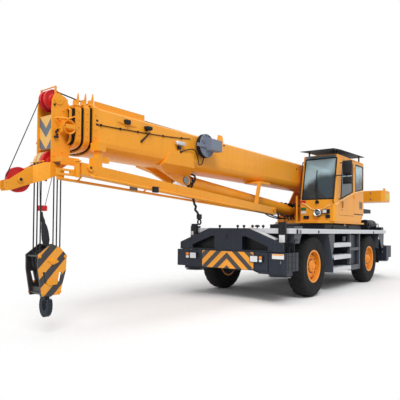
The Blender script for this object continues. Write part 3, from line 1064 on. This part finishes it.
def cushion(half_x, half_y, half_z, squareness=0.32, channel=0.01):
    """Crowned pad: a superellipsoid whose sides pull in, with two sewn channels along it."""
    u = np.linspace(-np.pi / 2, np.pi / 2, 41)[:, None]
    v = np.linspace(-np.pi, np.pi, 96, endpoint=False)[None, :]

    def rise(w, power):
        return np.sign(w) * np.abs(w) ** power
    x = half_x * rise(np.cos(u), squareness) * rise(np.cos(v), squareness)
    y = half_y * rise(np.cos(u), squareness) * rise(np.sin(v), squareness)
    z = half_z * rise(np.sin(u), 0.55) + 0 * v
    dip = channel * np.exp(-((np.abs(y) / half_y - 0.52) / 0.05) ** 2) * (z > 0)
    crown = 0.35 * half_z * (1 - (x / half_x) ** 2) * (1 - (y / half_y) ** 2) * (z > 0)
    pull = 1 - 0.035 * np.cos(np.pi * y / half_y) * (1 - np.abs(np.sin(u)))
    points = np.stack([x * pull, y, z + crown - dip], -1)
    return loft(points)


seat = piece("seat_cushion", moved(cushion(0.262, 0.225, 0.052), by=(-2.245, SEAT_Y, 1.962)), CLOTH, UPPER,
             smooth=1)
lean = math.radians(-11)
turn_up = -np.array([[0, 0, -1.0], [0, 1.0, 0], [1.0, 0, 0]])
rest = piece("seat_back",
             moved(cushion(0.325, 0.205, 0.052), tilted(lean) @ turn_up, by=(-2.515, SEAT_Y, 2.37)), CLOTH,
             UPPER, smooth=1)
pedestal = joined(skin([(z, a, b, 0.03, (-2.25, SEAT_Y))
                        for z, a, b in ((1.64, 0.2, 0.13), (1.66, 0.2, 0.13), (1.7, 0.16, 0.11),
                                        (1.86, 0.16, 0.11), (1.875, 0.22, 0.18), (1.905, 0.24, 0.2))], "z"),
                  prism([(-2.52, 1.9), (-2.5, 2.02), (-2.62, 2.69), (-2.645, 2.69), (-2.56, 1.99)], "y", 0.67,
                        1.03))
piece("seat_frame", pedestal, PLASTIC, UPPER, 0.004, replaces="cab_seat")
for side, name in SIDES:
    y = SEAT_Y + side * 0.275
    console = skin([(x, w, h, 0.02, (y, z))
                    for x, w, h, z in ((-2.44, 0.03, 0.035, 2.05), (-2.3, 0.04, 0.045, 2.09),
                                       (-2.05, 0.042, 0.045, 2.11), (-1.96, 0.034, 0.035, 2.1))], "x")
    lever = joined(straight((-2.02, y, 2.14), (-1.99, y, 2.26), 0.008, 10),
                   spun(-0.03, [(0.02, -0.02), (0.024, 0.01), (0.014, 0.034)], 0.038, (-1.985, y, 2.28), "z",
                        16))
    piece("seat_console_" + name, joined(console, lever), PLASTIC, UPPER, 0.002)
piece("load_screen",
      joined(plate(-1.33, -1.3, 0.5, 0.66, 2.22, 2.36, "x", 0.012),
             straight((-1.31, 0.58, 2.1), (-1.315, 0.58, 2.23), 0.01)), PLASTIC, UPPER, 0.002)
piece("steering_rim",
      moved(ring(0.19, 0.019, (0, 0, 0), "z", 56, 12),
            np.array([[0.568, 0, -0.823], [0, 1, 0], [0.823, 0, 0.568]]), by=(-1.48, SEAT_Y, 2.23)), PLASTIC,
      UPPER)

# ---- boom ---------------------------------------------------------------------------
BOOM_HALF, BOOM_TOP = 0.307, 3.009
KNEE, BELLY = 2.548, 0.163          # height where the sides start to curve, and depth of the belly below it
COLLAR_Y, COLLAR_TOP = 0.319, 3.021
INSET = 0.024                       # from one section to the next


def across_boom(inset):
    """Outline across a boom section: flat top and sides, then a belly.

    Width and depth of the belly follow powers of cosine and sine.
    """
    half, top, drop = BOOM_HALF - inset, BOOM_TOP - inset, BELLY - inset
    t = np.radians(np.linspace(0, 90, 7))
    right = np.concatenate([[(half - 0.025, top), (half, top - 0.025)],
                            np.stack([half * np.cos(t) ** 0.8, KNEE - drop * np.sin(t) ** 0.8], 1)])
    return np.concatenate([right, right[-2::-1] * (-1, 1)])


for n, section in enumerate(("section_2", "section_3", "section_4")):
    piece("wear_band_" + section,
          prism(across_boom(INSET * (n + 1) - 0.006), "x", 5.083 + 0.12 * n, 5.127 + 0.12 * n), GASKET,
          section, 0.002)
for n, (body, x) in enumerate((("boom", 5.045), ("section_2", 5.165), ("section_3", 5.285))):
    heads = hexagon_bolts([(x, COLLAR_Y - INSET * n, z) for z in (2.6, 2.7, 2.8, 2.9)], "y", 0.012, 0.009)
    piece("collar_bolts_%d" % (n + 1), both(heads), ORANGE, body, 0.001)
    top = [(x, y, COLLAR_TOP - INSET * n) for y in (-0.12, 0.0, 0.12)]
    piece("collar_top_bolts_%d" % (n + 1), hexagon_bolts(top, "z", 0.014, 0.012), ORANGE, body, 0.001)
pointed = prism([(4.279, 2.888), (4.33, 2.905), (4.56, 2.908), (4.642, 2.892), (4.56, 2.878), (4.33, 2.876)],
                "y", BOOM_HALF, BOOM_HALF + 0.01)
piece("side_pointed_plate", pointed, ORANGE, "boom", 0.001)
piece("side_sensor", plate(BOOM_HALF, BOOM_HALF + 0.045, 4.43, 4.53, 2.884, 2.945, "y", 0.008), BLACK, "boom",
      0.003)
lamp_body = skin([(x, w, h, 0.012, (BOOM_HALF + 0.045, 2.898))
                  for x, w, h in ((4.145, 0.02, 0.018), (4.11, 0.034, 0.026), (4.016, 0.036, 0.027))], "x")
piece("side_lamp", joined(lamp_body, bar(4.06, 4.09, BOOM_HALF, BOOM_HALF + 0.02, 2.86, 2.9)), BLACK, "boom",
      0.002)
piece("side_bracket",
      prism([(3.993, 2.845), (4.01, 2.845), (4.195, 2.69), (4.183, 2.665)], "y", BOOM_HALF,
            BOOM_HALF + 0.018), BLACK, "boom", 0.001)
silver = skin([(x, w, w, 0.014, (BOOM_HALF + 0.045, 2.786))
               for x, w in ((3.434, 0.02), (3.415, 0.03), (3.23, 0.031), (3.205, 0.022))], "x")
piece("side_canister", joined(silver, bar(3.3, 3.34, BOOM_HALF, BOOM_HALF + 0.02, 2.76, 2.81)), ALUMINIUM,
      "boom", 0.002)
piece("side_valve",
      joined(plate(BOOM_HALF, BOOM_HALF + 0.035, 3.285, 3.35, 2.695, 2.745, "y", 0.006),
             plate(BOOM_HALF, BOOM_HALF + 0.03, 3.262, 3.3, 2.64, 2.675, "y", 0.006)), BLACK, "boom", 0.002)
y = BOOM_HALF + 0.02
piece("side_cable",
      bent([(3.28, y, 2.66), (3.12, y + 0.02, 2.715), (2.965, y + 0.03, 2.736), (2.89, y + 0.03, 2.66),
            (2.852, y + 0.03, 2.579), (2.808, y + 0.02, 2.498), (2.72, y + 0.02, 2.54), (2.653, y, 2.658)],
           0.009, 8, 70), GASKET, "boom")
y = BOOM_HALF + 0.008
piece("side_wire",
      bent([(5.015, y, 2.78), (4.75, y, 2.79), (4.468, y, 2.805), (4.2, y, 2.818), (3.993, y, 2.83),
            (3.45, y, 2.87), (3.022, y, 2.915)], 0.006, 8, 60), GASKET, "boom")
clips = [bar(x - 0.012, x + 0.012, BOOM_HALF, BOOM_HALF + 0.018, z - 0.014, z + 0.014)
         for x, z in ((4.95, 2.783), (4.6, 2.797), (4.25, 2.816), (3.7, 2.85), (3.25, 2.89))]
piece("wire_clips", joined(*clips), BLACK, "boom", 0.001)
small = [plate(BOOM_HALF, BOOM_HALF + 0.014, x - 0.018, x + 0.018, z - 0.014, z + 0.014, "y", 0.004)
         for x, z in ((5.02, 2.776), (5.02, 2.83))]
piece("collar_switches", joined(*small), BLACK, "boom", 0.001)
piece("boom_side_studs",
      hexagon_bolts([(-1.078, BOOM_HALF, 2.868), (2.007, BOOM_HALF, 2.96), (-1.305, BOOM_HALF, 2.96)], "y",
                    0.016, 0.014, 10), BLACK, "boom", 0.001)
# reel: spokes, rim and the wound cable
reel = (2.7, 0.43, 2.835)
spokes = [moved(bar(-0.012, 0.012, 0.0, 0.01, 0.05, 0.185), tilted(a), by=reel)
          for a in np.arange(6) * np.pi / 3]
piece("reel_face",
      joined(*[ring(0.19, 0.011, (reel[0], y, reel[2]), "y", 56) for y in (0.432, 0.35)], *spokes,
             spun(0.0, [(0.06, 0.0), (0.055, 0.018)], 0.022, reel, "y", 28)), BLUE_GREY, "boom")
cable = wound(reel[0], reel[2], np.linspace(0.352, 0.428, 40), 0.2015, 0.004, 0.0127, 48)
piece("reel_cable", cable, GASKET, "boom", sharp=60)
# hose looped round the foot of the bracket, and the caps of the rod eye's pin
piece("head_hose_loop",
      bent([(2.816, 0.14, 2.344), (2.74, 0.15, 2.345), (2.674, 0.15, 2.32), (2.67, 0.14, 2.25),
            (2.743, 0.13, 2.19), (2.8, 0.12, 2.16)], 0.017, 10, 48), GASKET, "boom")
pin = spun(0.15, [(0.07, 0.15), (0.07, 0.166)], 0.17, ROD_EYE, "y", 32)
mirrored_pair("eye_pin_cap_*", pin, STEEL, "lift_rod", 0.002)

# ---- stowed jib ---------------------------------------------------------------------
JIB_START, JIB_RISE = (0.36, 1.712), 0.0668


def jib_low(x):
    """Height of the jib's lower edge."""
    return JIB_START[1] + (x - JIB_START[0]) * JIB_RISE


tie = joined(bent([(3.1, 0.45, jib_low(3.1) - 0.005), (3.07, 0.46, 1.8), (3.035, 0.46, 1.765),
                   (3.05, 0.46, 1.71), (2.985, 0.46, 1.66), (2.96, 0.46, 1.6)], 0.02, 8, 60),
             plate(0.43, 0.485, 2.9, 2.975, 1.555, 1.64, "y", 0.012),
             ring(0.042, 0.014, (2.935, 0.458, 1.51), "y", 28, 8))
piece("jib_tie", tie, BLACK, "boom")
piece("jib_clamp_front",
      joined(bar(4.292, 4.434, 0.34, 0.362, 1.935, 2.026),
             hexagon_bolts([(4.32, 0.362, 1.98), (4.4, 0.362, 1.98)], "y", 0.012, 0.01)), STEEL, "boom",
      0.003)
piece("jib_clamp_outer", bar(4.166, 4.261, 0.62, 0.67, 1.905, 1.99), BLACK, "boom", 0.006)
clamp = joined(bar(5.43, 5.495, 0.47, 0.53, 2.205, 2.225), bar(5.445, 5.48, 0.48, 0.52, 2.01, 2.205),
               hexagon_bolts([(5.4625, 0.5, 2.225)], "z", 0.018, 0.018))
piece("jib_end_clamp", clamp, ORANGE, "boom", 0.003)
eyes = [turned([(0.02, -0.012), (0.045, -0.012), (0.045, 0.012), (0.02, 0.012)], (x, 0.545, jib_low(x) + 0.1),
               "y", 24) for x in (0.46, 5.3)]
piece("jib_side_eyes", joined(*eyes), ORANGE, "boom", 0.002)
rivets = [(x, 0.53, jib_low(x) + 0.035) for x in np.linspace(0.6, 5.2, 24)]
piece("jib_rivets", hexagon_bolts(rivets, "y", 0.008, 0.006), ORANGE, "boom")

# ---- head, nose, ropes, block -------------------------------------------------------
piece("head_stripe_plate", plate(5.58, 5.586, -0.142, 0.142, 2.395, 2.825, "x", 0.006), HEAD_STRIPES,
      "section_4", 0.001)
HEAD_Y = 0.165
fittings = [spun(0.0, [(r, 0.0), (r * 0.85, 0.016)], 0.018, (x, HEAD_Y, z), "y", 16)
            for x, z, r in ((5.525, 2.785, 0.018), (5.464, 2.72, 0.014), (5.53, 2.631, 0.016),
                            (5.493, 2.65, 0.01), (5.536, 2.572, 0.014), (5.58, 2.947, 0.014))]
piece("head_fittings", joined(*fittings), BLACK, "section_4")
head_bolts = hexagon_bolts([(x, HEAD_Y, z)
                            for x, z in ((5.42, 2.5), (5.42, 2.62), (5.42, 2.8), (5.45, 2.9), (5.58, 2.3),
                                         (5.46, 2.36))], "y", 0.013, 0.01)
piece("head_bolts", both(head_bolts), ORANGE, "section_4", 0.001)
cap = spun(0.177, [(0.052, 0.177), (0.052, 0.186)], 0.192, SHEAVE_PIN, "y", 32)
mirrored_pair("sheave_pin_cap_*", cap, STEEL, "section_4", 0.001)
handle = bent([(5.521, 0.168, 2.765), (5.5, 0.215, 2.77), (5.427, 0.235, 2.784), (5.33, 0.24, 2.83),
               (5.296, 0.245, 2.851)], 0.01, 8, 40)
piece("head_lever", handle, ORANGE, "section_4")
cup = spun(0.17, [(0.052, 0.17), (0.056, 0.2), (0.088, 0.285), (0.092, 0.3), (0.082, 0.3), (0.046, 0.215)],
           0.21, (5.44, 0, 2.67), "y", 40)
arm = joined(bent([(5.44, 0.285, 2.745), (5.48, 0.29, 2.77), (5.55, 0.24, 2.775), (5.59, 0.19, 2.77)], 0.012,
                  8, 30), bar(5.37, 5.405, 0.168, 0.235, 2.745, 2.8))
piece("head_cup", joined(cup, arm), ORANGE, "section_4", 0.002)
piece("head_cup_pins",
      hexagon_bolts([(5.56, 0.178, 2.6), (5.545, 0.178, 2.54), (5.575, 0.178, 2.535)], "y", 0.018, 0.018),
      CHARCOAL, "section_4", 0.001)
piece("head_lamp",
      spun(-0.195, [(0.016, -0.193), (0.024, -0.18), (0.024, -0.165)], -0.165, (5.59, 0, 2.489), "y", 20),
      RED_LENS, "section_4")
piece("rope_guard_bars",
      joined(straight((5.415, -0.15, 2.12), (5.415, 0.15, 2.12), 0.009),
             straight((5.708, -0.15, 2.215), (5.708, 0.15, 2.215), 0.007)), ORANGE, "section_4")
boss = spun(0.06, [(0.042, 0.06), (0.04, 0.07), (0.02, 0.072)], 0.072, NOSE_PIN, "y", 24)
bolts = hexagon_bolts([(5.6, 0.183, 2.12), (5.6, 0.183, 2.06)], "y", 0.016, 0.016)
piece("nose_bosses", joined(both(boss), both(bolts)), ORANGE, "section_4", 0.001)
piece("nose_pin_end", spun(0.07, [(0.02, 0.07), (0.018, 0.08)], 0.081, NOSE_PIN, "y", 20), BLACK, "section_4")
groove = [(0.1, -0.0275), (0.1515, -0.0265), (0.1515, -0.022), (0.13, 0.0), (0.1515, 0.022), (0.1515, 0.0265),
          (0.1, 0.0275)]
piece("cream_sheaves",
      joined(*[turned(groove, (SHEAVE_PIN[0], y, SHEAVE_PIN[2]), "y", 56) for y in (-0.075, 0.0)]), CREAM,
      "section_4")


def laid_rope(a, b, radius=0.009, step=0.012, lay=0.11):
    """Straight wire rope: six strands as a lobed circle that turns once in every lay along it."""
    a, b = np.asarray(a, float), np.asarray(b, float)
    length = np.linalg.norm(b - a)
    s = np.linspace(0, length, max(int(length / step), 2))[:, None]
    angle = np.linspace(0, 2 * np.pi, 18, endpoint=False)[None, :]
    r = radius * (0.86 + 0.14 * np.abs(np.cos(3 * (angle - 2 * np.pi * s / lay))))
    ahead = (b - a) / length
    across = unit(np.cross(ahead, (0.0, 1.0, 0.02)))
    over = np.cross(across, ahead)
    spoke = np.cos(angle)[..., None] * across + np.sin(angle)[..., None] * over
    return loft(a + s[..., None] * ahead + r[..., None] * spoke)


falls = joined(*[laid_rope((x, y, BLOCK_PIN[2]), (x, y, SHEAVE_PIN[2])) for y in (-0.075, 0.0, 0.075)
                 for x in (5.406, 5.694)])
piece("rope_falls", falls, ROPE, "hook_block", sharp=80, replaces="hoist_ropes")
piece("rope_to_drum", laid_rope((-4.1, 0.05, 2.5), (-2.98, 0.05, 3.03), step=0.03, lay=0.24), ROPE, UPPER,
      sharp=80)
piece("rope_on_boom", laid_rope((-2.98, 0.05, 3.03), (5.0, 0.05, 3.1), step=0.05, lay=0.4), ROPE, "boom",
      sharp=80)
piece("rope_to_head", laid_rope((5.05, 0.05, 3.112), (5.5, 0.05, 3.158), step=0.02, lay=0.16), ROPE,
      "section_4", sharp=80)
guide = joined(turned([(0.012, -0.09), (0.04, -0.09), (0.034, 0.0), (0.04, 0.09), (0.012, 0.09)],
                      (-2.96, 0.05, 3.062), "y", 24), bar(-2.99, -2.93, -0.05, -0.038, 3.009, 3.085),
               bar(-2.99, -2.93, 0.138, 0.15, 3.009, 3.085))
piece("boom_rope_guide", guide, STEEL, "boom", 0.001)
piece("nose_rope", laid_rope((5.655, -0.05, 3.02), (6.116, 0.0, 1.995), 0.006, 0.02, 0.12), ROPE, "section_4",
      sharp=80)
# red weight of the limit switch on its two thin cords, and the rope's wedge socket on the block
weight = joined(plate(-0.034, 0.034, 5.572, 5.668, 1.598, 1.668, "y", 0.01),
                plate(-0.04, 0.04, 5.6, 5.64, 1.612, 1.654, "y", 0.008))
piece("limit_weight", weight, RED, "section_4", 0.002)
piece("limit_cords",
      joined(laid_rope((5.585, 0.0, 1.66), (5.5, 0.045, 2.1), 0.004, 0.03, 0.2),
             laid_rope((5.655, 0.0, 1.66), (5.64, -0.045, 2.1), 0.004, 0.03, 0.2)), ROPE, "section_4")
socket = skin([(z, w, h, min(w, h) * 0.6, (x, 0.0))
               for x, z, w, h in ((5.56, 1.17, 0.03, 0.034), (5.566, 1.23, 0.046, 0.036),
                                  (5.578, 1.33, 0.042, 0.034), (5.59, 1.4, 0.034, 0.028),
                                  (5.604, 1.45, 0.02, 0.022), (5.612, 1.48, 0.024, 0.024),
                                  (5.622, 1.53, 0.013, 0.013), (5.63, 1.59, 0.01, 0.01))], "z")
piece("wedge_socket", socket, IRON, "hook_block", 0.002)
bosses = [spun(0.14, [(0.046, 0.14), (0.04, 0.156), (0.022, 0.16)], 0.16, BLOCK_PIN, "y", 32),
          prism([(BLOCK_X - 0.085, 0.95), (BLOCK_X - 0.04, 0.93), (BLOCK_X + 0.06, 0.955),
                 (BLOCK_X + 0.085, 0.975), (BLOCK_X + 0.03, 0.995), (BLOCK_X - 0.05, 0.99)], "y", 0.14, 0.15),
          prism([(BLOCK_X - 0.06, 0.665), (BLOCK_X + 0.05, 0.66), (BLOCK_X + 0.1, 0.7),
                 (BLOCK_X + 0.02, 0.74), (BLOCK_X - 0.08, 0.72)], "y", 0.14, 0.152),
          *[spun(0.14, [(0.022, 0.14), (0.02, 0.152)], 0.154, (BLOCK_X + dx, 0, z), "y", 20)
            for dx, z in ((0.19, 1.03), (-0.184, 1.015), (0.14, 0.57), (-0.108, 0.57))]]
piece("block_bosses", both(joined(*bosses)), ORANGE, "hook_block", 0.001)
piece("block_rope_guard",
      joined(straight((BLOCK_X - 0.1, -0.118, 1.125), (BLOCK_X - 0.1, 0.118, 1.125), 0.014),
             straight((BLOCK_X + 0.03, -0.118, 1.165), (BLOCK_X + 0.03, 0.118, 1.165), 0.014),
             bar(BLOCK_X - 0.05, BLOCK_X - 0.02, -0.118, 0.118, 1.13, 1.145)), BLACK, "hook_block")
piece("swivel_nut",
      turned([(0.041, 0.5), (0.075, 0.505), (0.078, 0.54), (0.041, 0.544)], (BLOCK_X, 0, 0), "z", 32),
      HOOK_STEEL, "hook", 0.001)
latch = prism([(0.095, 0.48), (0.107, 0.49), (0.06, 0.42), (0.03, 0.395), (0.024, 0.402), (0.052, 0.43)], "x",
              BLOCK_X - 0.014, BLOCK_X + 0.014)
piece("hook_latch", latch, STEEL, "hook", 0.001)

# ---- floor, light, camera -----------------------------------------------------------
def backdrop_material(name, colour):
    """Pale ground that still takes the object's shadow, with a faint mottle in its tone."""
    mat, tree, sockets = blank_material(name)
    place = object_place(tree)
    tone = mixed(tree, noise(tree, place, 0.4), colour, tuple(c * 0.97 for c in colour[:3]) + (1,))
    tree.links.new(tone, sockets["Base Color"])
    spot = node_in(tree, "ShaderNodeMapping",
                   {"Vector": place, "Scale": (0.62, 1.0, 0.0), "Location": (0.9, 0.0, 0.0)}).outputs[0]
    far = node_in(tree, "ShaderNodeVectorMath", {0: spot}, operation="LENGTH").outputs["Value"]
    fade = node_in(tree, "ShaderNodeMapRange",
                   {"Value": far, "From Min": 2.7, "From Max": 5.2, "To Min": 1.0, "To Max": 0.0},
                   interpolation_type="SMOOTHSTEP")
    tree.links.new(fade.outputs[0], sockets["Alpha"])
    sockets["Roughness"].default_value = 0.9
    sockets["Specular IOR Level"].default_value = 0.1
    return mat


def stage():
    """Square of floor, fading to nothing at its rim by transparency, so that it runs into the background."""
    mesh = bpy.data.meshes.new("floor")
    half = 60.0
    mesh.from_pydata([(-half, -half, 0), (half, -half, 0), (half, half, 0), (-half, half, 0)], [],
                     [(0, 1, 2, 3)])
    floor = bpy.data.objects.new("floor", mesh)
    bpy.context.scene.collection.objects.link(floor)
    mesh.materials.append(backdrop_material("pale floor", (0.93, 0.93, 0.93, 1)))


stage()
SKY = 0.46          # light from all round; only straight looks and reflections see it as white
world = bpy.data.worlds.new("studio")
bpy.context.scene.world = world
world.use_nodes = True
tree = world.node_tree
background = tree.nodes["Background"]
path = tree.nodes.new("ShaderNodeLightPath").outputs
seen = maths(tree, "ADD", maths(tree, "ADD", path["Is Camera Ray"], path["Is Glossy Ray"], clamp=True),
             path["Is Transmission Ray"], clamp=True)
strength = maths(tree, "MULTIPLY_ADD", seen, 1 - SKY, SKY)
tree.links.new(strength, background.inputs["Strength"])
background.inputs["Color"].default_value = (1, 1, 1, 1)


def softbox(name, place, aim, size, power):
    """Square area lamp at a place, turned to face a point."""
    data = bpy.data.lights.new(name, "AREA")
    data.shape, data.size, data.energy = "SQUARE", size, power
    lamp = bpy.data.objects.new(name, data)
    bpy.context.scene.collection.objects.link(lamp)
    lamp.location = place
    lamp.rotation_euler = (Vector(aim) - Vector(place)).to_track_quat("-Z", "Y").to_euler()


softbox("key", (27.0, 27.0, 39.0), (0, 0, 1.5), 21.0, 15700)
softbox("front fill", (45.0, 1.5, 14.0), (0, 0, 1.5), 18.0, 3200)
softbox("top", (-2.0, 1.0, 48.0), (-1, 0, 1), 30.0, 6600)


def add_camera():
    """Camera from its place, its aim given by turn and rise in degrees, and a small roll."""
    turn, rise, roll = math.radians(217.90238), math.radians(1.23631), math.radians(0.53483)
    ahead = Vector((math.cos(rise) * math.cos(turn), math.cos(rise) * math.sin(turn), math.sin(rise)))
    right = ahead.cross(Vector((0, 0, 1))).normalized()
    up = right.cross(ahead)
    r = math.cos(roll) * right + math.sin(roll) * up
    u = -math.sin(roll) * right + math.cos(roll) * up
    data = bpy.data.cameras.new("camera")
    data.lens, data.sensor_width = 40.52, 36.0
    data.shift_x, data.shift_y = 0.0067, 0.0509
    camera = bpy.data.objects.new("camera", data)
    bpy.context.scene.collection.objects.link(camera)
    place = Vector((8.93468 + DATUM[0], 5.08697 + DATUM[1], 1.37265))
    camera.matrix_world = Matrix.Translation(place) @ Matrix((r, u, -ahead)).transposed().to_4x4()
    bpy.context.scene.camera = camera


add_camera()
bpy.context.scene.view_settings.view_transform = "Standard"
